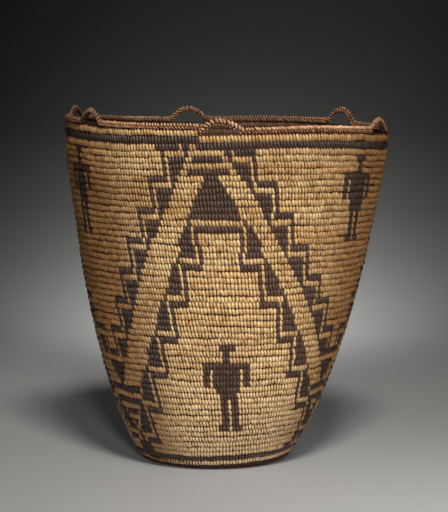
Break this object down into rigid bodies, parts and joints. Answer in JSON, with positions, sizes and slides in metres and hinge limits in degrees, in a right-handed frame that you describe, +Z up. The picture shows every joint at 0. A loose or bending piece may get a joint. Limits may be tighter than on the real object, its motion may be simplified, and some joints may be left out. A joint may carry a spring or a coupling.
{
  "type": "burden basket",
  "caption": "Tapering coiled carrying basket with a strip-covered wall, flat coiled base, overcast rim and low rim loops for lacing.",
  "frame": {"origin": "middle of the flat underside, where the coil starts", "axes": "+Z up through the mouth, -Y towards the pictured front, +X to the right as seen from the front"},
  "size_m": [0.3215, 0.3198, 0.3531],
  "materials": {
    "strip_tan": "dry grass strip, satin",
    "strip_dark": "dyed grass strip, satin",
    "split_root": "split root, matte",
    "rim_root": "split root overcasting, matte"
  },
  "bodies": {
    "root": {"base_start": "split_root", "base_coil": "split_root", "wall_coil_low": "split_root", "wall_coil_middle": "split_root", "wall_coil_high": "split_root", "strips_base_tan": "strip_tan", "strips_base_dark": "strip_dark", "strips_field": "strip_tan", "strips_rim_dark": "strip_dark", "strips_rim_tan": "strip_tan", "rim_coil": "rim_root", "rim_braid_front_right": "rim_root", "rim_braid_right": "rim_root", "rim_braid_back_right": "rim_root", "rim_braid_back_left": "rim_root", "rim_braid_left": "rim_root", "rim_braid_front_left": "rim_root", "rim_loop_front": "rim_root", "rim_loop_right": "rim_root", "rim_loop_back_right": "rim_root", "rim_loop_back": "rim_root", "rim_loop_back_left": "rim_root", "rim_loop_left": "rim_root"}
  },
  "joints": []
}
